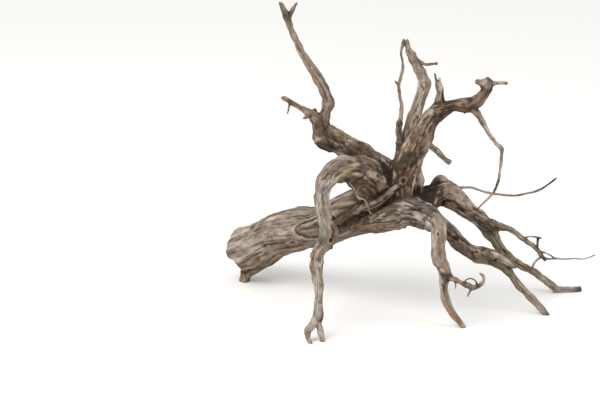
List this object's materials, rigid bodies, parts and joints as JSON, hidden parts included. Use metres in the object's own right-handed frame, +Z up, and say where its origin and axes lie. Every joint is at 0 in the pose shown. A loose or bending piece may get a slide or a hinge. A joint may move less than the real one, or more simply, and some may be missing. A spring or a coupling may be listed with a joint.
{
  "type": "piece of driftwood",
  "caption": "Weathered root crown of driftwood: a thick broken stem lies back from a knotted hub, and arching, forking roots reach down as legs and up in the air.",
  "frame": {"origin": "on the ground, under the middle of the root's bounding box", "axes": "+Z up, +X to the right and -Y towards the viewer, as the root is seen from its front, with the broken stem at the back left"},
  "size_m": [0.7728, 0.398, 0.6197],
  "materials": {
    "weathered_wood": "bare, weathered grey-brown, fissured along the grain"
  },
  "bodies": {
    "root": {"driftwood_root": "weathered_wood"}
  },
  "joints": []
}
